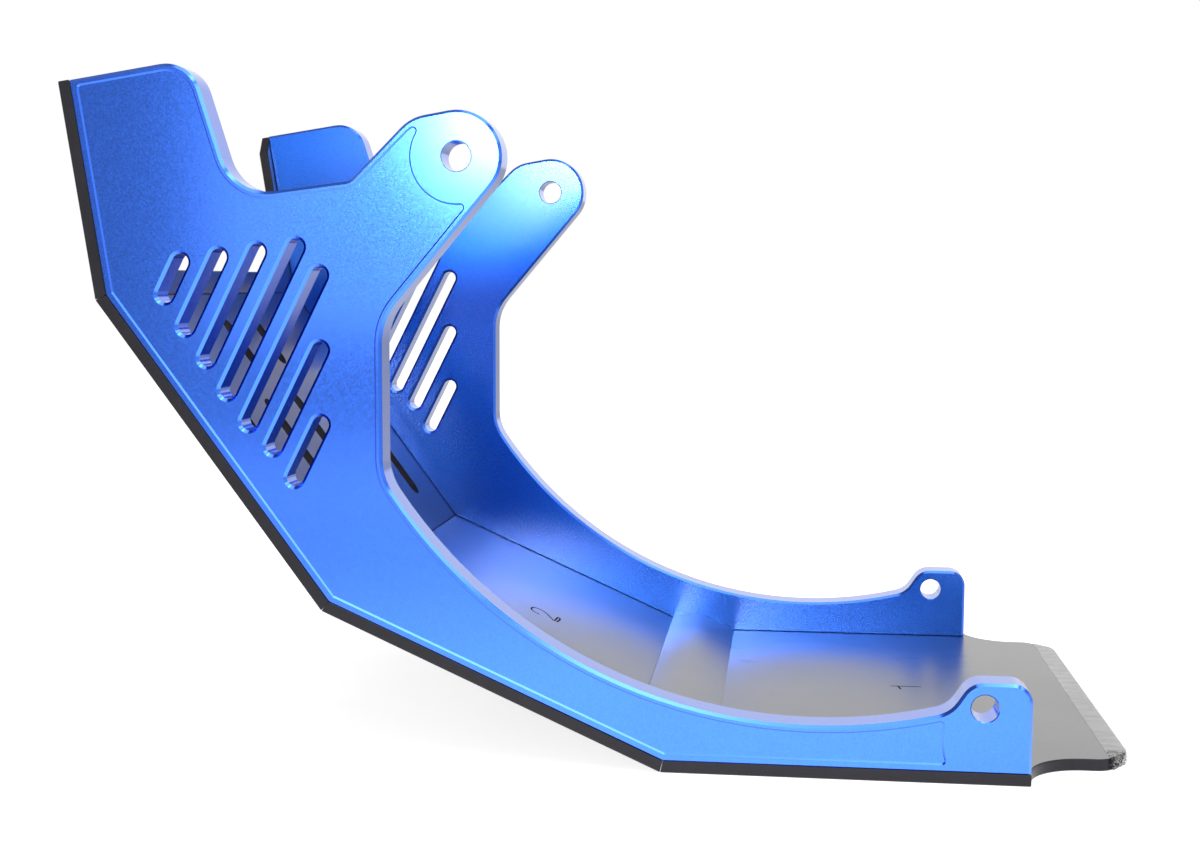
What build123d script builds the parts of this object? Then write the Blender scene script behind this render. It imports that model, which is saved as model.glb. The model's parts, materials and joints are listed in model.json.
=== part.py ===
"""Motorcycle skid plate: two milled side plates joined by four flat panels.

X runs to the rear, Z up, and Y from the left side plate to the right one. The origin is on the
axis of the rear lugs, half way between the side plates. Sizes are in millimetres and degrees.
"""
from build123d import *
from math import asin, atan2, cos, degrees, hypot, radians, sin
import os

# Overall
width = 270.0                # over the side plates' outer faces
plate_t = 15.0
panel_t = 5.0
mitre_gap = 0.2              # between two panels that meet
plate_chamfer = 1.2          # along the free edges of a side plate
joint_chamfer = 0.4          # along the edges that meet a panel, and the panels' own edges

# Chain of the four panels, from the rear of the side plates forwards and up
rear_end = 18.6              # side plates' rear edge, behind the rear lugs' axis
lug_to_bottom = 26.0         # rear lugs' axis above the bottom panel
bottom_length = 146.9
lower_length = 152.3
front_length = 156.8
upper_length = 89.2
lower_slope = 24.0
front_slope = 53.5
upper_slope = 81.2

# Horn at the top of a side plate, and the valley between it and the upper lug
horn_depth = 52.0
horn_back_slope = 72.5
horn_drop = 58.3
horn_radius = 15.0
valley_length = 49.0
valley_slope = 7.2
valley_radius = 20.0
valley_end_radius = 5.0

# Upper lug
upper_lug_x = -212.9
upper_lug_z = 218.2
upper_lug_radius = 18.5
upper_bore = 12.2
shoulder_back = 18.8         # from the lug's centre forwards to its shoulder
shoulder_up = 15.5
shoulder_radius = 18.0

# Post under the upper lug and the long sweep to the rear lug
post_x = -244.2
post_top = 152.1
post_foot = 88.2
post_top_radius = 26.0
post_foot_radius = 24.0
sweep_radius = 207.6

# Rear lug
lug_top = 10.2
lug_front = 5.5
lug_foot_x = -13.5
lug_foot_z = -2.0
lug_foot_radius = 12.5
lug_front_radius = 9.6
lug_rear_radius = 8.0
rear_bore = 11.0
bore_chamfer = 0.35

# Recess in a side plate's outer face
recess_depth = 0.9
recess_cove = 0.7            # slope round the recess's floor
recess_inset = 2.4
recess_boss_radius = 18.7
recess_end = 34.6            # from the side plate's rear edge to the end of the recess
recess_end_radius = 31.2
cutter_radius = 1.8          # rounds every inner corner of the recess

# Slots through a side plate
slot_angle = 63.4
slot_width = 7.0
slot_sides = 20              # flats in place of a slot's or a vent's round ends
slot_chamfer = 1.25
slot_pitch = 13.7
slot_first = 22.0            # from the upper joint to the first slot, across the slots
slot_valley_margin = 23.5
slot_post_margin = 26.3
slot_edge_margins = (20.3, 19.4, 18.8, 17.8, 17.2, 19.6, 19.0)

# Vents in the front panel
vent_width = 11.5
vent_pitch = 41.0
vent_start = 21.4            # from the lower joint to the long vents
vent_row_gap = 16.5
short_vent_length = 29.5
short_vent_end = 14.8        # from the short vents to the upper joint

# Cut-out in the upper panel
cutout_start = 11.5
ear_width = 21.5
ear_chamfer = 9.5
cutout_radius = 10.0

# Tail of the bottom panel, behind the side plates
tail_length = 44.5
notch_radius = 25.0
tail_corner_length = 10.0
tail_corner_width = 13.0
tail_corner_radius = 10.0

# Cross bar over the joint between the lower and the bottom panel
bar_height = 8.8
bar_thickness = 8.5
bar_reach = 15.6
bar_lip = 0.4
bar_end_gap = 0.1

# Film round the tail's rear edge
film_t = 0.3
film_lap = 9.1

# Countersunk screws
screw_sides = 12             # flats in place of a screw's round
screw_d = 5.0
screw_length = 16.0
head_d = 10.0
head_rim = 0.3               # straight edge of a countersunk head
screw_hole_gap = 0.25        # round a screw in a panel
thread_gap = 0.05            # round a screw in a side plate or in the bar
head_gap = 0.1
screw_margin = 20.0          # from a joint to the nearest screw
bar_screw_d = 4.0
bar_screw_length = 10.0
bar_head_d = 8.0
bar_screw_inset = 6.5        # from the joint to the bar's screws
bar_screw_pitch = 160.0
screw_tip_gap = 0.5

inner_half = width / 2 - plate_t
screw_line = width / 2 - plate_t / 2


def polar(point, distance, angle):
    """Point in a side plate's plane at a distance and an angle from another."""
    return Vector(point.X + distance * cos(radians(angle)), point.Y + distance * sin(radians(angle)))


def meet(point_a, angle_a, point_b, angle_b):
    """Point where two lines cross, each given by a point on it and its angle."""
    across = sin(radians(angle_b - angle_a))
    gap = point_b - point_a
    along = (gap.X * sin(radians(angle_b)) - gap.Y * cos(radians(angle_b))) / across
    return polar(point_a, along, angle_a)


def tangent_point(point, centre, radius, side):
    """Point where a line from a point touches a circle; side is 1 for the left of the way there."""
    away = centre - point
    distance = hypot(away.X, away.Y)
    turn = degrees(asin(radius / distance))
    angle = degrees(atan2(away.Y, away.X)) + side * turn
    return polar(point, distance * cos(radians(turn)), angle)


def panel_plane(corner, angle):
    """A panel's inner face: local Y up the chain, local Z outwards."""
    normal = (cos(radians(angle + 90)), 0, sin(radians(angle + 90)))
    return Plane(origin=(corner.X, 0, corner.Y), x_dir=(0, -1, 0), z_dir=normal)


def joint_plane(corner, angle_below, angle_above):
    """The plane that halves a joint between two panels, facing up the chain."""
    middle = radians((angle_below + angle_above) / 2)
    return Plane(origin=(corner.X, 0, corner.Y), x_dir=(0, 1, 0), z_dir=(cos(middle), 0, sin(middle)))


def screw_row(plane, length, count, side):
    """Places of a row of screws on a panel's outer face; side is -1 left and 1 right."""
    pitch = (length - 2 * screw_margin) / (count - 1)
    outer = plane.offset(panel_t).location
    return [outer * Location((-side * screw_line, screw_margin + pitch * i)) for i in range(count)]


def countersunk(head, shank, length):
    """A countersunk screw, or the room for one, with its head's flat face up at the origin."""
    slope = (head - shank) / 2
    with BuildPart() as body:
        with BuildSketch():
            RegularPolygon(head / 2, screw_sides)
        extrude(amount=-head_rim - slope)
        foot = body.faces().sort_by(Axis.Z)[0]
        chamfer(foot.edges(), slope, slope * cos(radians(180 / screw_sides)))
        with BuildSketch():
            RegularPolygon(shank / 2, screw_sides)
        extrude(amount=-length)
    return body.part


def flat_slot(foot, top, across, angle, mode=Mode.ADD):
    """A slot between two points in the sketch being made, with its round ends in short flats."""
    with Locations(foot, top):
        RegularPolygon(across / 2, slot_sides, rotation=angle, mode=mode)
    with Locations((foot + top) / 2):
        Rectangle((top - foot).length, across, rotation=angle, mode=mode)


# Corners of the chain, in X and Z
bottom_angle = 180.0
lower_angle = 180.0 - lower_slope
front_angle = 180.0 - front_slope
upper_angle = 180.0 - upper_slope
rear_corner = Vector(rear_end, -lug_to_bottom)
bottom_joint = polar(rear_corner, bottom_length, bottom_angle)
lower_joint = polar(bottom_joint, lower_length, lower_angle)
upper_joint = polar(lower_joint, front_length, front_angle)
top_corner = polar(upper_joint, upper_length, upper_angle)

bottom_plane = panel_plane(rear_corner, bottom_angle)
lower_plane = panel_plane(bottom_joint, lower_angle)
front_plane = panel_plane(lower_joint, front_angle)
upper_plane = panel_plane(upper_joint, upper_angle)
bottom_mitre = joint_plane(bottom_joint, bottom_angle, lower_angle)
lower_mitre = joint_plane(lower_joint, lower_angle, front_angle)
upper_mitre = joint_plane(upper_joint, front_angle, upper_angle)

# Corners of the side plate's inner outline, from the horn round to the rear lug
horn_corner = polar(top_corner, horn_depth, upper_angle - 90)
horn_foot = polar(horn_corner, horn_drop, -horn_back_slope)
valley_end = polar(horn_foot, valley_length, valley_slope)
lug_centre = Vector(upper_lug_x, upper_lug_z)
shoulder = lug_centre + Vector(-shoulder_back, shoulder_up)
lug_upper_touch = tangent_point(shoulder, lug_centre, upper_lug_radius, 1)
post_corner = Vector(post_x, post_top)
lug_lower_touch = tangent_point(post_corner, lug_centre, upper_lug_radius, -1)
post_base = Vector(post_x, post_foot)
lug_foot = Vector(lug_foot_x, lug_foot_z)
lug_front_corner = Vector(-lug_front, lug_top)
lug_rear_corner = Vector(rear_end, lug_top)
corner_radii = (
    (horn_corner, horn_radius),
    (horn_foot, valley_radius),
    (valley_end, valley_end_radius),
    (shoulder, shoulder_radius),
    (post_corner, post_top_radius),
    (post_base, post_foot_radius),
    (lug_foot, lug_foot_radius),
    (lug_front_corner, lug_front_radius),
    (lug_rear_corner, lug_rear_radius),
)

# Ends of the slots: feet at their margins from the front edge, tops under the valley or before the post
slot_ends = []
first_line = polar(upper_joint, slot_first, slot_angle - 90)
for i, margin in enumerate(slot_edge_margins):
    on_line = polar(first_line, slot_pitch * i, slot_angle - 90)
    foot = meet(on_line, slot_angle, polar(lower_joint, margin, front_angle - 90), front_angle)
    under_valley = meet(on_line, slot_angle, polar(horn_foot, slot_valley_margin, valley_slope - 90), valley_slope)
    before_post = meet(on_line, slot_angle, post_base - Vector(slot_post_margin, 0), 90)
    slot_ends.append((foot, min(under_valley, before_post, key=lambda end: end.Y)))

# Screw rows along a side plate, for each panel
bottom_rows = {side: screw_row(bottom_plane, bottom_length, 3, side) for side in (-1, 1)}
lower_rows = {side: screw_row(lower_plane, lower_length, 2, side) for side in (-1, 1)}
front_rows = {side: screw_row(front_plane, front_length, 2, side) for side in (-1, 1)}
upper_rows = {side: screw_row(upper_plane, upper_length, 2, side) for side in (-1, 1)}

# Screws that hold the bar: one row through each panel, on either side of the joint
bar_spots = (-bar_screw_pitch / 2, bar_screw_pitch / 2)
bottom_outer = bottom_plane.offset(panel_t).location
lower_outer = lower_plane.offset(panel_t).location
bar_bottom_row = [bottom_outer * Location((y, bottom_length - bar_screw_inset)) for y in bar_spots]
bar_lower_row = [lower_outer * Location((y, bar_screw_inset)) for y in bar_spots]

# Screws, and the room for them in a panel and in what they are screwed into
panel_screw = countersunk(head_d, screw_d, screw_length)
panel_hole = countersunk(head_d + 2 * head_gap, screw_d + 2 * screw_hole_gap, panel_t)
plate_hole = countersunk(head_d, screw_d + 2 * thread_gap, screw_length + screw_tip_gap)
bar_screw = countersunk(bar_head_d, bar_screw_d, bar_screw_length)
bar_panel_hole = countersunk(bar_head_d + 2 * head_gap, bar_screw_d + 2 * screw_hole_gap, panel_t)
bar_hole = countersunk(bar_head_d, bar_screw_d + 2 * thread_gap, bar_screw_length + screw_tip_gap)

# Outline of a side plate, and the recess in its outer face
with BuildSketch(Plane.XZ.offset(inner_half)) as outline:
    with BuildLine():
        Polyline(lug_rear_corner, rear_corner, bottom_joint, lower_joint, upper_joint, top_corner,
                 horn_corner, horn_foot, valley_end, shoulder, lug_upper_touch)
        ThreePointArc(lug_upper_touch, polar(lug_centre, upper_lug_radius, 25), lug_lower_touch)
        Polyline(lug_lower_touch, post_corner, post_base)
        RadiusArc(post_base, lug_foot, -sweep_radius)
        Polyline(lug_foot, lug_front_corner, lug_rear_corner)
    make_face()
    for corner, radius in corner_radii:
        fillet(outline.vertices().sort_by_distance(corner)[0], radius)

with BuildSketch(Plane.XZ.offset(width / 2)) as recess:
    add(outline.sketch_local)
    offset(amount=-recess_inset - cutter_radius, mode=Mode.REPLACE)
    with Locations(lug_centre):
        Circle(recess_boss_radius + cutter_radius, mode=Mode.SUBTRACT)
    with Locations((rear_end - recess_end + recess_end_radius, -lug_to_bottom / 2)):
        Circle(recess_end_radius + cutter_radius, mode=Mode.SUBTRACT)
    offset(amount=cutter_radius, kind=Kind.ARC, mode=Mode.REPLACE)


def meets_panel(edge):
    """Whether an edge lies along the chain of panels."""
    planes = (bottom_plane, lower_plane, front_plane, upper_plane)
    return min(abs(plane.to_local_coords(edge.center()).Z) for plane in planes) < 0.01


os.makedirs("parts", exist_ok=True)

# Left side plate
with BuildPart() as side_plate_left:
    extrude(outline.sketch, amount=plate_t)
    rims = side_plate_left.faces().filter_by(Axis.Y).edges()
    chamfer([edge for edge in rims if not meets_panel(edge)], plate_chamfer)
    rims = side_plate_left.faces().filter_by(Axis.Y).edges()
    chamfer([edge for edge in rims if meets_panel(edge)], joint_chamfer)
    extrude(recess.sketch, amount=-recess_depth, mode=Mode.SUBTRACT)
    floor = side_plate_left.faces().filter_by(Axis.Y).sort_by(Axis.Y)[1]
    chamfer(floor.edges(), recess_cove)
    with BuildSketch(Plane.XZ.offset(width / 2)):
        for foot, top in slot_ends:
            flat_slot(foot, top, slot_width, slot_angle)
    extrude(amount=-plate_t, mode=Mode.SUBTRACT)
    floor = side_plate_left.faces().filter_by(Axis.Y).sort_by(Axis.Y)[1]
    back = side_plate_left.faces().filter_by(Axis.Y).sort_by(Axis.Y)[-1]
    chamfer(floor.inner_wires().edges() + back.inner_wires().edges(), slot_chamfer)
    with BuildSketch(Plane.XZ.offset(width / 2)):
        Circle(rear_bore / 2)
        with Locations(lug_centre):
            Circle(upper_bore / 2)
    extrude(amount=-plate_t, mode=Mode.SUBTRACT)
    walls = side_plate_left.faces(Select.LAST).filter_by(GeomType.CYLINDER)
    chamfer(walls.edges().filter_by(GeomType.CIRCLE), bore_chamfer)
    with Locations(bottom_rows[-1] + lower_rows[-1] + front_rows[-1] + upper_rows[-1]):
        add(plate_hole, mode=Mode.SUBTRACT)
side_plate_left.part.label = "side_plate_left"
export_step(side_plate_left.part, "parts/side_plate_left.step")

with BuildPart() as side_plate_right:
    mirror(side_plate_left.part, about=Plane.XZ)
side_plate_right.part.label = "side_plate_right"
export_step(side_plate_right.part, "parts/side_plate_right.step")

# Bottom panel, with its tail behind the side plates
with BuildPart() as bottom_panel:
    with BuildSketch(bottom_plane) as bottom_outline:
        with Locations((0, (bottom_length - tail_length) / 2 + panel_t)):
            Rectangle(width, bottom_length + tail_length + 2 * panel_t)
        for side in (-1, 1):
            with Locations((side * width / 2, -notch_radius)):
                Circle(notch_radius, mode=Mode.SUBTRACT)
            with Locations((side * width / 2, -notch_radius - tail_length)):
                Rectangle(2 * notch_radius, 2 * tail_length, mode=Mode.SUBTRACT)
        corners = bottom_outline.vertices().group_by(Axis.Y)[0]
        chamfer(corners, tail_corner_length, tail_corner_width)
        corners = bottom_outline.vertices().group_by(Axis.Y)[:2]
        fillet(corners[0] + corners[1], tail_corner_radius)
    extrude(amount=panel_t)
    split(bisect_by=bottom_mitre.offset(-mitre_gap / 2), keep=Keep.BOTTOM)
    chamfer(bottom_panel.faces().filter_by(Axis.Z).edges(), joint_chamfer)
    with Locations(bottom_rows[-1] + bottom_rows[1]):
        add(panel_hole, mode=Mode.SUBTRACT)
    with Locations(bar_bottom_row):
        add(bar_panel_hole, mode=Mode.SUBTRACT)
bottom_panel.part.label = "bottom_panel"
export_step(bottom_panel.part, "parts/bottom_panel.step")

# Lower panel
with BuildPart() as lower_panel:
    with BuildSketch(lower_plane):
        with Locations((0, lower_length / 2)):
            Rectangle(width, lower_length + 2 * panel_t)
    extrude(amount=panel_t)
    split(bisect_by=bottom_mitre.offset(mitre_gap / 2), keep=Keep.TOP)
    split(bisect_by=lower_mitre.offset(-mitre_gap / 2), keep=Keep.BOTTOM)
    chamfer(lower_panel.faces().filter_by(lower_plane).edges(), joint_chamfer)
    with Locations(lower_rows[-1] + lower_rows[1]):
        add(panel_hole, mode=Mode.SUBTRACT)
    with Locations(bar_lower_row):
        add(bar_panel_hole, mode=Mode.SUBTRACT)
lower_panel.part.label = "lower_panel"
export_step(lower_panel.part, "parts/lower_panel.step")

# Front panel, with a row of five long vents and a row of two short ones
vent_length = front_length - vent_start - vent_row_gap - short_vent_length - short_vent_end
with BuildPart() as front_panel:
    with BuildSketch(front_plane):
        with Locations((0, front_length / 2)):
            Rectangle(width, front_length + 2 * panel_t)
        for column in (-2, -1, 0, 1, 2):
            foot = Vector(column * vent_pitch, vent_start + vent_width / 2)
            top = foot + Vector(0, vent_length - vent_width)
            flat_slot(foot, top, vent_width, 90, mode=Mode.SUBTRACT)
        for column in (-0.5, 0.5):
            top = Vector(column * vent_pitch, front_length - short_vent_end - vent_width / 2)
            foot = top - Vector(0, short_vent_length - vent_width)
            flat_slot(foot, top, vent_width, 90, mode=Mode.SUBTRACT)
    extrude(amount=panel_t)
    split(bisect_by=lower_mitre.offset(mitre_gap / 2), keep=Keep.TOP)
    split(bisect_by=upper_mitre.offset(-mitre_gap / 2), keep=Keep.BOTTOM)
    rims = [face.outer_wire().edges() for face in front_panel.faces().filter_by(front_plane)]
    chamfer(rims, joint_chamfer)
    with Locations(front_rows[-1] + front_rows[1]):
        add(panel_hole, mode=Mode.SUBTRACT)
front_panel.part.label = "front_panel"
export_step(front_panel.part, "parts/front_panel.step")

# Upper panel, cut out to a U
with BuildPart() as upper_panel:
    with BuildSketch(upper_plane) as upper_outline:
        with Locations((0, (upper_length - panel_t) / 2)):
            Rectangle(width, upper_length + panel_t)
        with Locations((0, cutout_start)):
            Rectangle(width - 2 * ear_width, upper_length, align=(Align.CENTER, Align.MIN), mode=Mode.SUBTRACT)
        floor_corners = upper_outline.vertices().group_by(Axis.Y)[1]
        fillet(floor_corners, cutout_radius)
        ear_corners = upper_outline.vertices().group_by(Axis.Y)[-1].group_by(
            lambda vertex: round(abs(vertex.X), 3))[0]
        chamfer(ear_corners, ear_chamfer)
    extrude(amount=panel_t)
    split(bisect_by=upper_mitre.offset(mitre_gap / 2), keep=Keep.TOP)
    chamfer(upper_panel.faces().filter_by(upper_plane).edges(), joint_chamfer)
    with Locations(upper_rows[-1] + upper_rows[1]):
        add(panel_hole, mode=Mode.SUBTRACT)
upper_panel.part.label = "upper_panel"
export_step(upper_panel.part, "parts/upper_panel.step")

# Cross bar: flat top over the lower panel's end, slope running out on the bottom panel
bar_left_foot = polar(bottom_joint, bar_reach, lower_angle)
bar_level = Vector(bottom_joint.X, bottom_joint.Y + bar_height)
bar_slope_start = polar(bottom_joint, bar_thickness, lower_angle - 90)
bar_left_top = meet(bar_left_foot, lower_angle - 90, bar_level, 0)
bar_ridge = meet(bar_slope_start, lower_angle, bar_level, 0)
bar_lip_top = meet(bar_slope_start, lower_angle, bottom_joint + Vector(0, bar_lip), 0)
bar_lip_foot = Vector(bar_lip_top.X, bottom_joint.Y)
with BuildPart() as cross_bar:
    with BuildSketch(Plane.XZ):
        Polygon(bottom_joint, bar_left_foot, bar_left_top, bar_ridge, bar_lip_top, bar_lip_foot, align=None)
    extrude(amount=inner_half - bar_end_gap, both=True)
    with Locations(bar_bottom_row + bar_lower_row):
        add(bar_hole, mode=Mode.SUBTRACT)
cross_bar.part.label = "cross_bar"
export_step(cross_bar.part, "parts/cross_bar.step")

# Film folded round the tail's rear edge, on its top and down its rear face
with BuildPart() as edge_film:
    with BuildSketch(bottom_plane.offset(-film_t)):
        add(bottom_outline.sketch_local)
        offset(amount=film_t, mode=Mode.REPLACE)
        with Locations((0, -tail_length)):
            Rectangle(width, 2 * film_lap, mode=Mode.INTERSECT)
    extrude(amount=panel_t + film_t - joint_chamfer)
    with BuildSketch(bottom_plane):
        add(bottom_outline.sketch_local)
    extrude(amount=panel_t, mode=Mode.SUBTRACT)
edge_film.part.label = "edge_film"
export_step(edge_film.part, "parts/edge_film.step")

# Rows of screws
screw_groups = {
    "bottom_screws_left": (panel_screw, bottom_rows[-1]),
    "bottom_screws_right": (panel_screw, bottom_rows[1]),
    "lower_screws_left": (panel_screw, lower_rows[-1]),
    "lower_screws_right": (panel_screw, lower_rows[1]),
    "front_screws_left": (panel_screw, front_rows[-1]),
    "front_screws_right": (panel_screw, front_rows[1]),
    "upper_screws_left": (panel_screw, upper_rows[-1]),
    "upper_screws_right": (panel_screw, upper_rows[1]),
    "bar_screws_bottom": (bar_screw, bar_bottom_row),
    "bar_screws_lower": (bar_screw, bar_lower_row),
}

for name, (body, places) in screw_groups.items():
    with BuildPart() as screws:
        with Locations(places):
            add(body)
    screws.part.label = name
    export_step(screws.part, f"parts/{name}.step")
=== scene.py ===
"""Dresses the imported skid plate: camera, studio, finishes, screws, film and hand marks.

Metres, in the row's own frame: X to the rear, Z up, Y from the left side plate to the right one.
"""
import json
import math

import bmesh
import bpy
from mathutils import Matrix, Vector
from mathutils.noise import fractal

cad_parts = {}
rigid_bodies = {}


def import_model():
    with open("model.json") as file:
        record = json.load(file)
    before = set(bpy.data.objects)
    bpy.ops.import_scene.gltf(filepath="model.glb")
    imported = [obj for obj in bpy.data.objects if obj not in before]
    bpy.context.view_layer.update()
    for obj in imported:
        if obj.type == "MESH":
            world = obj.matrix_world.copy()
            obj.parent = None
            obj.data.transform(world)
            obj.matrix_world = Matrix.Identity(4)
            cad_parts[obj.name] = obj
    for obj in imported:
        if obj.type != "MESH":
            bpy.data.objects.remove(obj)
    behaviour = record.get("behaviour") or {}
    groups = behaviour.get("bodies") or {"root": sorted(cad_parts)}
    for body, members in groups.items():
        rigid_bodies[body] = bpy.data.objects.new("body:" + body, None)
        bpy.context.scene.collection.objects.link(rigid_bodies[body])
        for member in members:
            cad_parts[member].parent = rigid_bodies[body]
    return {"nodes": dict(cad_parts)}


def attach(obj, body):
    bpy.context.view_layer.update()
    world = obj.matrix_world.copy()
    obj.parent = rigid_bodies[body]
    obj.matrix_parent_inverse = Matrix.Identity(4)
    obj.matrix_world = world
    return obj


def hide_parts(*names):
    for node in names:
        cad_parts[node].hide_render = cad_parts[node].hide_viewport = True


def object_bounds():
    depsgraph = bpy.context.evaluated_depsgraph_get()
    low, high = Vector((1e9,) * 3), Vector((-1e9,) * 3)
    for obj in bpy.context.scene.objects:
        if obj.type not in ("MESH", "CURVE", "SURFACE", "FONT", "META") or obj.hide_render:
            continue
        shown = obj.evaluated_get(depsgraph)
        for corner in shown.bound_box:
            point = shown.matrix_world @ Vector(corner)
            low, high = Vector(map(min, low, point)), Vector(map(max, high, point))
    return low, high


for unused in list(bpy.data.objects):
    bpy.data.objects.remove(unused)

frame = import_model()
cad_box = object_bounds()
nodes = frame["nodes"]
scene = bpy.context.scene
MM = 0.001
WHITE = (1.0, 1.0, 1.0, 1.0)

# Camera, fitted to the photograph
LENS = 48.32
SENSOR = 36.0
CAMERA_PLACE = (-0.078806, -0.775413, 0.167102)
CAMERA_TURN = (84.9017, -0.2191, 6.7556)
camera_data = bpy.data.cameras.new("camera")
camera_data.lens = LENS
camera_data.sensor_width = SENSOR
camera_data.sensor_fit = "HORIZONTAL"
camera_data.clip_start = 0.01
camera_data.clip_end = 60.0
camera = bpy.data.objects.new("camera", camera_data)
camera.location = CAMERA_PLACE
camera.rotation_euler = [math.radians(angle) for angle in CAMERA_TURN]
scene.collection.objects.link(camera)
scene.camera = camera
scene.view_settings.view_transform = "Standard"


# Node trees
def add(tree, kind, inputs=None, **settings):
    """Adds a shader node; an input given a socket is linked, any other is set."""
    made = tree.nodes.new("ShaderNode" + kind)
    for key, value in settings.items():
        setattr(made, key, value)
    for key, value in (inputs or {}).items():
        if isinstance(value, bpy.types.NodeSocket):
            tree.links.new(value, made.inputs[key])
        else:
            made.inputs[key].default_value = value
    return made


def place_on_object(tree):
    """The place on the object itself, in metres."""
    return add(tree, "TexCoord").outputs["Object"]


def part_of(tree, vector, axis):
    """One axis of a vector."""
    return add(tree, "SeparateXYZ", {0: vector}).outputs[axis]


def new_material(name):
    """An empty node material and its tree."""
    material = bpy.data.materials.new(name)
    material.use_nodes = True
    material.node_tree.nodes.clear()
    return material, material.node_tree


def noise(tree, place, scale, detail=2.0, rough=0.5):
    """A noise texture's value, from 0 to 1."""
    made = add(tree, "TexNoise", {"Vector": place, "Scale": scale, "Detail": detail,
                                  "Roughness": rough})
    return made.outputs["Fac"]


def spread(tree, value, low, high, from_low=0.0, from_high=1.0):
    """A value brought from one range to another."""
    made = add(tree, "MapRange", {"Value": value, "From Min": from_low, "From Max": from_high,
                                  "To Min": low, "To Max": high})
    return made.outputs["Result"]


def calc(tree, operation, first, second):
    """One step of arithmetic on two values."""
    return add(tree, "Math", {0: first, 1: second}, operation=operation).outputs[0]


def blend_colours(tree, factor, first, second):
    """Two colours mixed by a factor."""
    return add(tree, "Mix", {0: factor, 6: first, 7: second}, data_type="RGBA").outputs[2]


def shadowless(tree):
    """1 for what the camera sees, directly or in metal or through film, and 0 for plain lighting."""
    path = add(tree, "LightPath")
    seen = calc(tree, "MAXIMUM", path.outputs["Is Camera Ray"], path.outputs["Is Glossy Ray"])
    return calc(tree, "MAXIMUM", seen, path.outputs["Is Transmission Ray"])


# Studio
AMBIENT = 0.55               # the world's light on the object and the floor
FLOOR_REACH = 12.0
FLOOR_GLOW = 0.66            # what lifts the floor to white where it is looked at
FLOOR_BRIGHT = (-0.1, -0.25)  # where the floor is brightest in metal

# Each lamp's place, the point it faces, its width and height, and its radiance
LAMPS = {
    "key": ((-0.32, -1.50, 0.41), (-0.25, -0.13, 0.22), 0.38, 0.20, 30.0),
    "front": ((-0.29, -1.10, 0.34), (-0.29, 0.0, 0.34), 0.78, 0.46, 1.25),
    "overhead": ((0.15, -0.55, 1.9), (0.05, -0.3, 0.0), 1.6, 1.35, 2.1),
    "streak": ((0.45, -0.70, 1.80), (0.10, -0.20, 0.0), 1.0, 0.36, 3.0),
    "upper_right": ((1.40, -0.80, 1.45), (-0.2, -0.1, 0.1), 0.9, 0.7, 3.0),
}


def build_world():
    """White where the camera looks; in metal, white behind the object and dimmer round the camera."""
    world = bpy.data.worlds.new("studio")
    world.use_nodes = True
    tree = world.node_tree
    tree.nodes.clear()
    light = add(tree, "Background", {"Color": WHITE, "Strength": AMBIENT})
    seen = add(tree, "Background", {"Strength": 1.0})
    both = add(tree, "MixShader", {0: shadowless(tree), 1: light.outputs[0], 2: seen.outputs[0]})
    way = add(tree, "SeparateXYZ", {0: add(tree, "TexCoord").outputs["Generated"]})
    behind = spread(tree, way.outputs["Y"], 0.0, 1.0, -0.1, 0.5)
    sideways = spread(tree, way.outputs["X"], 0.22, 1.0, 0.2, 0.8)
    upwards = spread(tree, way.outputs["Z"], 1.0, 0.5, 0.25, 0.5)
    left = spread(tree, way.outputs["X"], 0.28, 0.03, -0.42, -0.30)
    beside = calc(tree, "MULTIPLY", calc(tree, "ADD", sideways, left), upwards)
    dimmed = calc(tree, "MAXIMUM", behind, beside)
    glossy = add(tree, "LightPath").outputs["Is Glossy Ray"]
    tree.links.new(blend_colours(tree, glossy, WHITE, dimmed), seen.inputs["Color"])
    add(tree, "OutputWorld", {"Surface": both.outputs[0]})
    scene.world = world


def build_floor():
    """A plain pale floor, white where it is looked at; in metal, dimmer away from the object."""
    mesh = bpy.data.meshes.new("floor")
    level = cad_box[0][2] - 0.1 * MM
    corners = [(x * FLOOR_REACH, y * FLOOR_REACH, level)
               for x, y in ((-1, -1), (1, -1), (1, 1), (-1, 1))]
    mesh.from_pydata(corners, [], [(0, 1, 2, 3)])
    floor = bpy.data.objects.new("floor", mesh)
    scene.collection.objects.link(floor)
    material, tree = new_material("floor")
    plain = add(tree, "BsdfDiffuse", {"Color": (0.82, 0.82, 0.82, 1.0)})
    away = add(tree, "VectorMath", {0: place_on_object(tree), 1: (*FLOOR_BRIGHT, level)},
               operation="DISTANCE")
    shiny = spread(tree, away.outputs["Value"], 0.52, -FLOOR_GLOW, 0.1, 0.5)
    extra = calc(tree, "MULTIPLY", add(tree, "LightPath").outputs["Is Glossy Ray"], shiny)
    strength = calc(tree, "ADD", calc(tree, "MULTIPLY", shadowless(tree), FLOOR_GLOW), extra)
    glow = add(tree, "Emission", {"Color": WHITE, "Strength": strength})
    both = add(tree, "AddShader", {0: plain.outputs[0], 1: glow.outputs[0]})
    add(tree, "OutputMaterial", {"Surface": both.outputs[0]})
    mesh.materials.append(material)


def softbox(name, place, aim, width, height, radiance):
    """A rectangular lamp that faces a point."""
    data = bpy.data.lights.new(name, "AREA")
    data.shape = "RECTANGLE"
    data.size = width
    data.size_y = height
    data.energy = radiance * math.pi * width * height
    lamp = bpy.data.objects.new(name, data)
    lamp.location = place
    lamp.rotation_euler = (Vector(aim) - Vector(place)).to_track_quat("-Z", "Y").to_euler()
    lamp.visible_camera = False
    scene.collection.objects.link(lamp)


build_world()
build_floor()
for lamp_name, lamp_setting in LAMPS.items():
    softbox(lamp_name, *lamp_setting)


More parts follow.
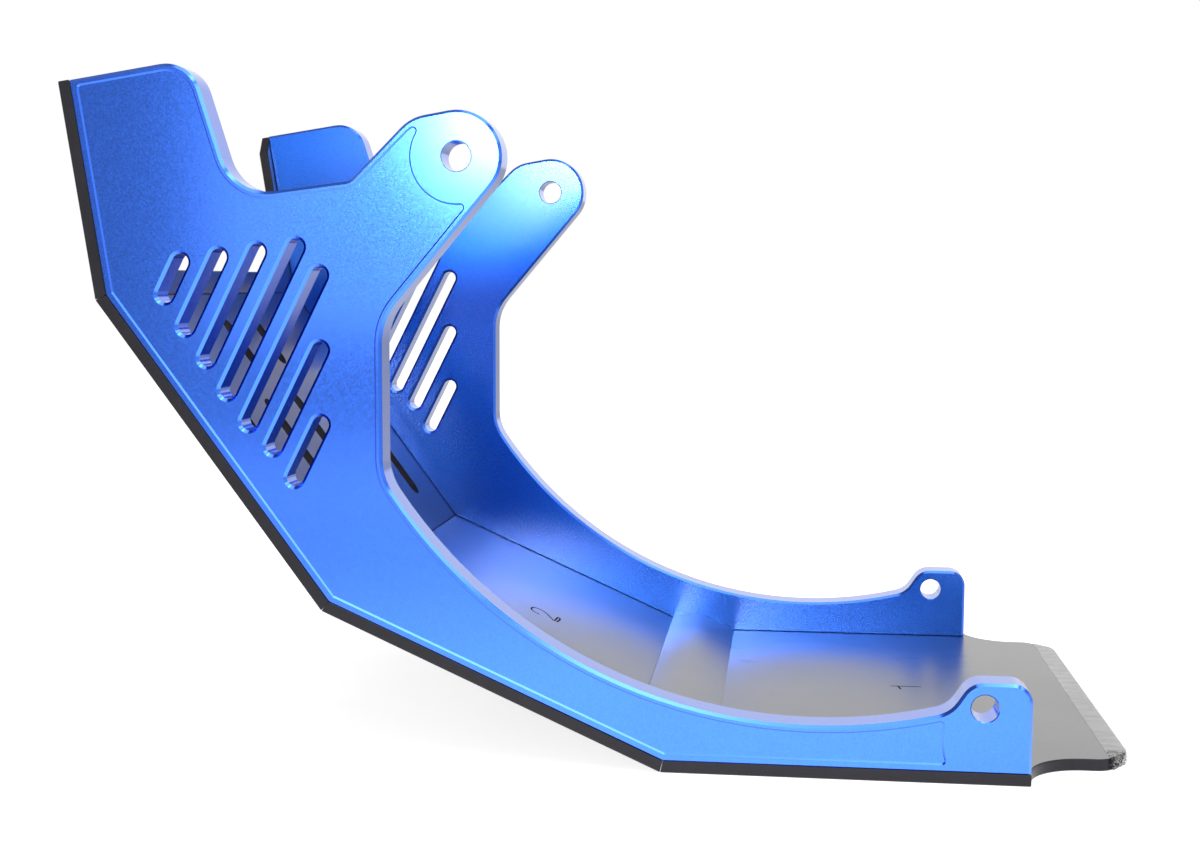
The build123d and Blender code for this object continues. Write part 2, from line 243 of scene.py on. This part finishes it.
# Finishes: their colours where they are deepest and palest
BLUE_FACE = ((0.022, 0.162, 0.92, 1.0), (0.029, 0.182, 0.98, 1.0))
BLUE_MILLED = (0.030, 0.155, 0.79, 1.0)
# the inner faces' blue, darker as painted shade
BLUE_INNER_SHADED = (0.014, 0.142, 0.76, 1.0)
BLACK_SHEET = (0.008, 0.007, 0.011, 1.0)
BLACK_BAR = (0.012, 0.011, 0.015, 1.0)
STEEL = ((0.050, 0.050, 0.055, 1.0), (0.110, 0.110, 0.118, 1.0))
FILM = ((0.79, 0.78, 0.78, 1.0), (1.0, 0.99, 0.98, 1.0))
INK = ((0.004, 0.004, 0.006, 1.0), (0.016, 0.016, 0.022, 1.0))


def facing_y(tree):
    """How far a surface faces along Y, from -1 to 1."""
    return part_of(tree, add(tree, "TexCoord").outputs["Normal"], "Y")


def flanks(tree, low, high):
    """1 on surfaces that face along Y, either way, by more than a share, 0 by less than another."""
    return spread(tree, calc(tree, "ABSOLUTE", facing_y(tree), 0.0), 0.0, 1.0, low, high)


def anodised_blue():
    """Dyed aluminium: blasted on its outer faces, duller on its inner ones and darkened there as
    painted shade, smoother where milled.
    """
    material, tree = new_material("blue_anodised")
    place = place_on_object(tree)
    cloud = noise(tree, place, 14.0, 3.0)
    grain = noise(tree, place, 1450.0, 3.0, 0.7)
    mottle = noise(tree, place, 420.0, 2.0)
    drawn = add(tree, "Mapping", {"Vector": place, "Scale": (1.0, 0.06, 1.0)}).outputs[0]
    milled = noise(tree, drawn, 2600.0, 2.0)
    blasted = flanks(tree, 0.80, 0.97)
    inwards = calc(tree, "MULTIPLY", facing_y(tree), part_of(tree, place, "Y"))
    inner = spread(tree, inwards, 1.0, 0.0, -0.11, -0.06)
    colour = blend_colours(tree, cloud, *BLUE_FACE)
    colour = blend_colours(tree, flanks(tree, 0.15, 0.50), BLUE_MILLED, colour)
    # painted shade: the side plates' inner faces are drawn in a darker blue
    colour = blend_colours(tree, inner, colour, BLUE_INNER_SHADED)
    speckle = calc(tree, "MULTIPLY", spread(tree, grain, 0.86, 1.14, 0.30, 0.70),
                   spread(tree, mottle, 0.97, 1.03, 0.3, 0.7))
    speckle = calc(tree, "MULTIPLY", calc(tree, "SUBTRACT", speckle, 1.0), blasted)
    shade = add(tree, "VectorMath", {0: colour, "Scale": calc(tree, "ADD", speckle, 1.0)},
                operation="SCALE")
    height = add(tree, "Mix", {0: blasted, 2: calc(tree, "MULTIPLY", milled, 0.25), 3: grain})
    bump = add(tree, "Bump", {"Strength": 0.4, "Distance": 0.010 * MM, "Height": height.outputs[0]})
    rough = add(tree, "Mix", {0: blasted, 2: spread(tree, milled, 0.18, 0.24, 0.3, 0.7),
                              3: spread(tree, grain, 0.12, 0.22, 0.3, 0.7)})
    rough = calc(tree, "ADD", rough.outputs[0], calc(tree, "MULTIPLY", inner, 0.12))
    shader = add(tree, "BsdfPrincipled", {"Base Color": shade.outputs[0], "Metallic": 1.0,
                                          "Roughness": rough, "Coat Weight": 1.0,
                                          "Coat Roughness": 0.15,
                                          "Normal": bump.outputs[0]})
    add(tree, "OutputMaterial", {"Surface": shader.outputs[0]})
    return material


def anodised_black(name, tint):
    """Black dyed sheet: semi-gloss and faintly rubbed on its faces, duller on its sawn edges."""
    material, tree = new_material(name)
    place = place_on_object(tree)
    grain = noise(tree, place, 2000.0, 2.0, 0.6)
    cloud = noise(tree, place, 18.0, 3.0)
    stretched = add(tree, "Mapping", {"Vector": place, "Scale": (1.0, 14.0, 1.0)})
    rubbed = noise(tree, stretched.outputs[0], 90.0, 4.0, 0.7)
    sawn = flanks(tree, 0.04, 0.30)
    colour = blend_colours(tree, spread(tree, rubbed, 0.0, 1.0, 0.45, 0.8), tint,
                           [channel * 1.8 for channel in tint[:3]] + [1.0])
    bump = add(tree, "Bump", {"Strength": 0.25, "Distance": 0.010 * MM, "Height": grain})
    roughness = calc(tree, "ADD", spread(tree, cloud, 0.27, 0.33, 0.3, 0.7),
                     spread(tree, grain, -0.03, 0.03))
    roughness = calc(tree, "ADD", roughness, calc(tree, "MULTIPLY", sawn, 0.08))
    shader = add(tree, "BsdfPrincipled", {"Base Color": colour, "Roughness": roughness, "IOR": 1.36,
                                          "Coat Weight": spread(tree, sawn, 1.0, 0.0),
                                          "Coat IOR": 1.8, "Coat Roughness": 0.28,
                                          "Normal": bump.outputs[0]})
    add(tree, "OutputMaterial", {"Surface": shader.outputs[0]})
    return material


def dark_steel():
    """Blackened steel, rubbed a little brighter in places."""
    material, tree = new_material("screw_steel")
    grain = noise(tree, place_on_object(tree), 1500.0, 2.0)
    colour = blend_colours(tree, grain, *STEEL)
    bump = add(tree, "Bump", {"Strength": 0.3, "Distance": 0.01 * MM, "Height": grain})
    shader = add(tree, "BsdfPrincipled", {"Base Color": colour, "Metallic": 1.0,
                                          "Roughness": spread(tree, grain, 0.24, 0.34),
                                          "Normal": bump.outputs[0]})
    add(tree, "OutputMaterial", {"Surface": shader.outputs[0]})
    return material


def clear_film():
    """Thin clear film, shiny, with faint streaks along its folds and dark gaps painted as shade in its
    creases where it is crushed.
    """
    material, tree = new_material("clear_film")
    place = place_on_object(tree)
    streak = add(tree, "Mapping", {"Vector": place, "Rotation": (0.0, 0.0, 0.3),
                                   "Scale": (0.25, 1.0, 1.0)})
    lines = noise(tree, streak.outputs[0], 260.0, 3.0, 0.6)
    tint = blend_colours(tree, spread(tree, lines, 0.0, 1.0, 0.38, 0.62), *FILM)
    # painted shade: dark spots in the film's colour stand for the shade in its crushed creases
    painted_crease_shade = spread(tree, noise(tree, place, 520.0, 2.0), 0.04, 1.0, 0.44, 0.56)
    crumpled = spread(tree, part_of(tree, place, "Y"), 1.0, 0.0, -0.100, -0.094)
    tint = blend_colours(tree, crumpled, tint, painted_crease_shade)
    bump = add(tree, "Bump", {"Strength": 0.5, "Distance": 0.06 * MM, "Height": lines})
    shader = add(tree, "BsdfPrincipled", {"Base Color": tint, "Transmission Weight": 1.0, "IOR": 1.5,
                                          "Roughness": spread(tree, lines, 0.02, 0.10, 0.3, 0.7),
                                          "Normal": bump.outputs[0]})
    add(tree, "OutputMaterial", {"Surface": shader.outputs[0]})
    return material


finishes = {
    "blue_anodised": anodised_blue(),
    "black_anodised": anodised_black("black_anodised", BLACK_SHEET),
    "black_bar": anodised_black("black_bar", BLACK_BAR),
    "screw_steel": dark_steel(),
    "clear_film": clear_film(),
}


def shade_over_flats(limit):
    """Geometry nodes that shade a mesh smooth, save along edges that turn by more than a limit."""
    group = bpy.data.node_groups.new("shade_over_flats", "GeometryNodeTree")
    group.interface.new_socket("Geometry", in_out="INPUT", socket_type="NodeSocketGeometry")
    group.interface.new_socket("Geometry", in_out="OUTPUT", socket_type="NodeSocketGeometry")
    made = group.nodes.new
    start = made("NodeGroupInput")
    plain = made("GeometryNodeRemoveAttribute")
    plain.inputs["Name"].default_value = "custom_normal"
    welded = made("GeometryNodeMergeByDistance")
    welded.inputs["Distance"].default_value = 0.001 * MM
    angle = made("GeometryNodeInputMeshEdgeAngle")
    sharp = made("FunctionNodeCompare")
    sharp.data_type = "FLOAT"
    sharp.operation = "GREATER_THAN"
    sharp.inputs[1].default_value = math.radians(limit)
    kept = made("GeometryNodeStoreNamedAttribute")
    kept.data_type = "BOOLEAN"
    kept.domain = "EDGE"
    kept.inputs["Name"].default_value = "sharp_edge"
    smooth = made("GeometryNodeSetShadeSmooth")
    end = made("NodeGroupOutput")
    link = group.links.new
    link(start.outputs[0], plain.inputs["Geometry"])
    link(plain.outputs[0], welded.inputs["Geometry"])
    link(angle.outputs["Unsigned Angle"], sharp.inputs[0])
    link(welded.outputs[0], kept.inputs["Geometry"])
    link(sharp.outputs[0], kept.inputs["Value"])
    link(kept.outputs[0], smooth.inputs["Geometry"])
    link(smooth.outputs[0], end.inputs[0])
    return group


plate_shading = shade_over_flats(20.0)
panel_shading = shade_over_flats(35.0)
for name, node in nodes.items():
    wanted = node.material_slots[0].material.name
    node.material_slots[0].material = finishes[wanted.split(".")[0]]
    shading = node.modifiers.new("shading", "NODES")
    shading.node_group = plate_shading if name.startswith("side_plate") else panel_shading


# Places on the panels, by the side plates' corners
PANEL_T = 5.0 * MM
CHAIN_START = (0.0186, -0.026)
# Each panel's length, its way up the chain in degrees, and its screws to a side
CHAIN = {
    "bottom": (0.1469, 180.0, 3),
    "lower": (0.1523, 156.0, 2),
    "front": (0.1568, 126.5, 2),
    "upper": (0.0892, 98.8, 2),
}


def chain_corners():
    """Each panel's lower corner on its inner face, its way up the chain, and its outward way."""
    x, z = CHAIN_START
    found = {}
    for name, (length, slope, _) in CHAIN.items():
        turn = math.radians(slope)
        up = Vector((math.cos(turn), 0.0, math.sin(turn)))
        out = Vector((-math.sin(turn), 0.0, math.cos(turn)))
        found[name] = (Vector((x, 0.0, z)), up, out)
        x += length * up.x
        z += length * up.z
    return found


PANELS = chain_corners()


def on_panel(panel, along, across, height=0.0):
    """A point by its way along a panel, across it, and above its inner face."""
    corner, up, out = PANELS[panel]
    return corner + up * along + Vector((0.0, across, 0.0)) - out * height


def skin(made, rows, closed=True):
    """Faces between each row of points and the next."""
    for low, high in zip(rows, rows[1:]):
        for i in range(len(low) if closed else len(low) - 1):
            j = (i + 1) % len(low)
            made.faces.new((low[i], low[j], high[j], high[i]))


def shaped(name, made, sharp=None):
    """A mesh of the shape made; given an angle, smooth save along edges that turn by more."""
    bmesh.ops.recalc_face_normals(made, faces=made.faces)
    mesh = bpy.data.meshes.new(name)
    made.to_mesh(mesh)
    made.free()
    if sharp is not None:
        for polygon in mesh.polygons:
            polygon.use_smooth = True
        mesh.set_sharp_from_angle(angle=math.radians(sharp))
    return mesh


def new_piece(name, mesh, material):
    """A finished piece that rides on the only body."""
    piece = bpy.data.objects.new(name, mesh)
    scene.collection.objects.link(piece)
    mesh.materials.append(material)
    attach(piece, "root")
    return piece


# Screws with a hexagon socket
AROUND = 48
# Head, shank, length, socket across its flats, and depth of the socket
PANEL_SCREW = (9.7 * MM, 4.9 * MM, 15.9 * MM, 3.0 * MM, 1.9 * MM)
BAR_SCREW = (7.7 * MM, 3.9 * MM, 9.9 * MM, 2.5 * MM, 1.5 * MM)
SCREW_LINE = 0.1275          # from the middle to the rows in the side plates
SCREW_MARGIN = 0.020
BAR_SCREW_LINE = 0.080
BAR_SCREW_INSET = 0.0065


def ring(radius, height):
    """A circle's points."""
    turns = [2 * math.pi * i / AROUND for i in range(AROUND)]
    return [Vector((radius * math.cos(turn), radius * math.sin(turn), height)) for turn in turns]


def hexagon(across_flats, height):
    """A hexagon's outline, with as many points as a ring has."""
    points = []
    for i in range(AROUND):
        angle = 2 * math.pi * i / AROUND
        off = (angle + math.pi / 6) % (math.pi / 3) - math.pi / 6
        radius = across_flats / 2 / math.cos(off)
        points.append(Vector((radius * math.cos(angle), radius * math.sin(angle), height)))
    return points


def socket_screw(made, place, turned, head, shank, length, flats, depth):
    """Adds one countersunk screw to a mesh, its head's face at a place and turned outwards."""
    cone = (head - shank) / 2
    loops = [
        ring(shank * 0.38, -length),
        ring(shank / 2, -length + shank * 0.12),
        ring(shank / 2, -cone - 0.35 * MM),
        ring(head / 2 - 0.05 * MM, -0.36 * MM),
        ring(head / 2, -0.28 * MM),
        ring(head / 2, -0.10 * MM),
        ring(head / 2 - 0.10 * MM, 0.0),
        ring(flats * 0.66, 0.0),
        hexagon(flats * 1.04, -0.10 * MM),
        hexagon(flats, -0.22 * MM),
        hexagon(flats, -depth),
    ]
    rows = [[made.verts.new(place + turned @ point) for point in loop] for loop in loops]
    skin(made, rows)
    tip = made.verts.new(place + turned @ Vector((0.0, 0.0, -length)))
    pit = made.verts.new(place + turned @ Vector((0.0, 0.0, -depth - 0.3 * flats)))
    for i in range(AROUND):
        j = (i + 1) % AROUND
        made.faces.new((tip, rows[0][j], rows[0][i]))
        made.faces.new((pit, rows[-1][i], rows[-1][j]))


def screw_piece(name, node, spots, sizes):
    """A row of screws in place of a CAD node; a spot is a panel, a way along it and across it."""
    made = bmesh.new()
    for turn, (panel, along, across) in enumerate(spots):
        out = PANELS[panel][2]
        aside = Vector((0.0, 1.0, 0.0))
        axes = Matrix((aside, out.cross(aside), out)).transposed()
        turned = axes @ Matrix.Rotation(math.radians(23.0 * turn + 7.0), 3, "Z")
        socket_screw(made, on_panel(panel, along, across, -PANEL_T), turned, *sizes)
    piece = new_piece(name, shaped(name, made, 30.0), finishes["screw_steel"])
    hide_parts(node)


for panel, (length, _, count) in CHAIN.items():
    pitch = (length - 2 * SCREW_MARGIN) / (count - 1)
    for side, across in (("left", -SCREW_LINE), ("right", SCREW_LINE)):
        spots = [(panel, SCREW_MARGIN + pitch * i, across) for i in range(count)]
        screw_piece(f"{panel}_socket_screws_{side}", f"{panel}_screws_{side}", spots, PANEL_SCREW)
bar_rows = {"bottom": CHAIN["bottom"][0] - BAR_SCREW_INSET, "lower": BAR_SCREW_INSET}
for panel, along in bar_rows.items():
    spots = [(panel, along, across) for across in (-BAR_SCREW_LINE, BAR_SCREW_LINE)]
    screw_piece(f"bar_socket_screws_{panel}", f"bar_screws_{panel}", spots, BAR_SCREW)


# Hand marks on the inner faces, in dark ink: points along and across a panel, in millimetres
INK_FOOT = 0.005 * MM
INK_FACE = 0.03 * MM
MARK_ONE = (
    ((32.4, 2.4), (37.0, 2.35), (42.0, 2.5), (47.1, 2.4)),
    ((43.5, 2.3), (42.9, -0.5), (42.5, -3.4)),
)
MARK_TWO = (
    ((78.0, -3.6), (79.5, -4.1), (81.5, -3.2), (83.0, -0.6), (82.3, 3.8), (79.3, 5.6), (76.5, 4.6),
     (73.8, 1.6), (71.6, -1.4), (70.2, -2.9), (69.8, 0.5), (69.5, 5.8), (68.6, 6.4), (68.1, 3.8),
     (68.3, 0.2), (68.8, -3.2)),
)


def ink():
    """Matt black ink, a little worn."""
    material, tree = new_material("marker_ink")
    faded = noise(tree, place_on_object(tree), 600.0, 2.0)
    shader = add(tree, "BsdfPrincipled", {"Base Color": blend_colours(tree, faded, *INK),
                                          "Roughness": spread(tree, faded, 0.55, 0.75),
                                          "Specular IOR Level": 0.06})
    add(tree, "OutputMaterial", {"Surface": shader.outputs[0]})
    return material


def curve(points):
    """A smooth curve through points, in six steps from each to the next."""
    line = [Vector(point) * MM for point in points]
    smooth = []
    for i in range(len(line) - 1):
        before = line[max(i - 1, 0)]
        after = line[min(i + 2, len(line) - 1)]
        for step in range(6):
            t = step / 6
            smooth.append(0.5 * ((2 * line[i]) + (line[i + 1] - before) * t
                                 + (2 * before - 5 * line[i] + 4 * line[i + 1] - after) * t ** 2
                                 + (3 * line[i] - before - 3 * line[i + 1] + after) * t ** 3))
    smooth.append(line[-1])
    return smooth


def stroke(made, panel, points, width):
    """A thin closed ribbon along a curve on a panel's inner face, narrower at its ends."""
    smooth = curve(points)
    rows = []
    for i, point in enumerate(smooth):
        ahead = smooth[min(i + 1, len(smooth) - 1)] - smooth[max(i - 1, 0)]
        aside = Vector((-ahead.y, ahead.x)).normalized() * width / 2
        fade = 0.55 if i in (0, len(smooth) - 1) else 1.0
        left, right = point + aside * fade, point - aside * fade
        rows.append([made.verts.new(on_panel(panel, spot.x, spot.y, height))
                     for spot, height in ((left, INK_FOOT), (left, INK_FACE),
                                          (right, INK_FACE), (right, INK_FOOT))])
    skin(made, rows)
    made.faces.new(rows[0])
    made.faces.new(rows[-1])


def mark(name, panel, lines, width):
    """A mark's strokes as one piece."""
    made = bmesh.new()
    for points in lines:
        stroke(made, panel, points, width)
    new_piece(name, shaped(name, made), inked)


inked = ink()
mark("mark_two", "lower", MARK_TWO, 0.95 * MM)
mark("mark_one", "bottom", MARK_ONE, 0.90 * MM)

# Film over the tail's rear edge, crumpled where it is folded round the near corner; millimetres
TAIL_REAR = 63.1             # the straight part of the tail's outline
TAIL_CORNER = 97.0           # from the middle to a cut corner
TAIL_CUT = math.atan2(10.0, 13.0)
TAIL_ROUND = 10.0
FILM_ENDS = (-108.6, 107.4)
FILM_BORDER = 54.0           # where the film begins on the tail's top
FILM_TOP = -25.97
FILM_DROP = 4.85
FILM_LIMIT = 63.38           # no fold stands out further to the rear
CORNER_END = -110.0
STATIONS = 360
CELLS_ON_TOP = 12
CELLS_BEHIND = 14


def tail_edge(y):
    """Where the tail's outline lies at a place across it: a straight rear edge with cut corners."""
    away = abs(y) - (TAIL_CORNER - TAIL_ROUND * math.tan(TAIL_CUT / 2))
    if away <= 0:
        return TAIL_REAR
    if away <= TAIL_ROUND * math.sin(TAIL_CUT):
        return TAIL_REAR - TAIL_ROUND + math.sqrt(TAIL_ROUND ** 2 - away ** 2)
    return TAIL_REAR - (abs(y) - TAIL_CORNER) * math.tan(TAIL_CUT)


def near_corner(y, length, power):
    """1 at the near corner's end, falling to 0 over a length."""
    return max(0.0, 1.0 - (y - CORNER_END) / length) ** power


def film_on_top(y, crush, slack):
    """Points from the film's border to the tail's edge, the first two close together."""
    edge = tail_edge(y)
    points = []
    for k in range(CELLS_ON_TOP + 1):
        t = k / CELLS_ON_TOP if k > 1 else k * 0.004
        x = FILM_BORDER + (edge - FILM_BORDER) * t
        fold = fractal(Vector((x * 0.16, y * 0.42 + x * 0.25, 3.0)), 0.8, 2.2, 3)
        fine = fractal(Vector((x * 0.9, y * 0.9, 7.0)), 0.7, 2.1, 3)
        lift = 0.02 + 0.34 * slack * (0.5 + 0.5 * fold) * math.sin(math.pi * t)
        lift += crush * (0.15 + 0.75 * abs(fine)) * t
        points.append(Vector((x, y, FILM_TOP + max(0.02, lift))))
    return points


def film_behind(i, y, crush, slack):
    """Points down the tail's rear face, pleated where the film is crumpled."""
    ahead = tail_edge(y + 0.5) - tail_edge(y - 0.5)
    out = Vector((1.0, -ahead, 0.0)).normalized()
    points = []
    for k in range(1, CELLS_BEHIND + 1):
        t = k / CELLS_BEHIND
        pull = fractal(Vector((y * 0.5, t * 1.3, 11.0)), 0.8, 2.2, 3)
        fine = fractal(Vector((y * 0.45 + t * 2.0, t * 3.0 - y * 0.2, 5.0)), 0.8, 2.1, 3)
        pleat = abs((i * 0.17 + t * 1.3 + pull) % 1.0 - 0.5) * 2.0
        proud = 0.06 + 0.10 * slack * (0.5 + 0.5 * pull)
        proud += crush * (1.3 * abs(fine) + 1.3 * pleat) * math.sin(math.pi * (0.12 + 0.7 * t))
        point = Vector((tail_edge(y), y, FILM_TOP)) + out * max(0.05, proud)
        point.x = min(point.x, FILM_LIMIT)
        point.z = FILM_TOP - FILM_DROP * t - 0.12 * crush * fine
        points.append(point)
    return points


def film_wrap():
    """The film as a grid from its border on the tail's top, over the edge and down the rear face."""
    made = bmesh.new()
    rows = []
    first, last = FILM_ENDS
    for i in range(STATIONS + 1):
        y = first + (last - first) * i / STATIONS
        crush = near_corner(y, 17.0, 0.8)
        slack = 0.08 + 0.92 * near_corner(y, 75.0, 1.5) + 0.15 * max(0.0, (y - 60.0) / 50.0)
        points = film_on_top(y, crush, slack) + film_behind(i, y, crush, slack)
        rows.append([made.verts.new(point * MM) for point in points])
    skin(made, rows, closed=False)
    piece = new_piece("film_wrap", shaped("film_wrap", made, 32.0), finishes["clear_film"])
    thick = piece.modifiers.new("thickness", "SOLIDIFY")
    thick.thickness = 0.03 * MM
    thick.offset = 0.0
    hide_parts("edge_film")


film_wrap()
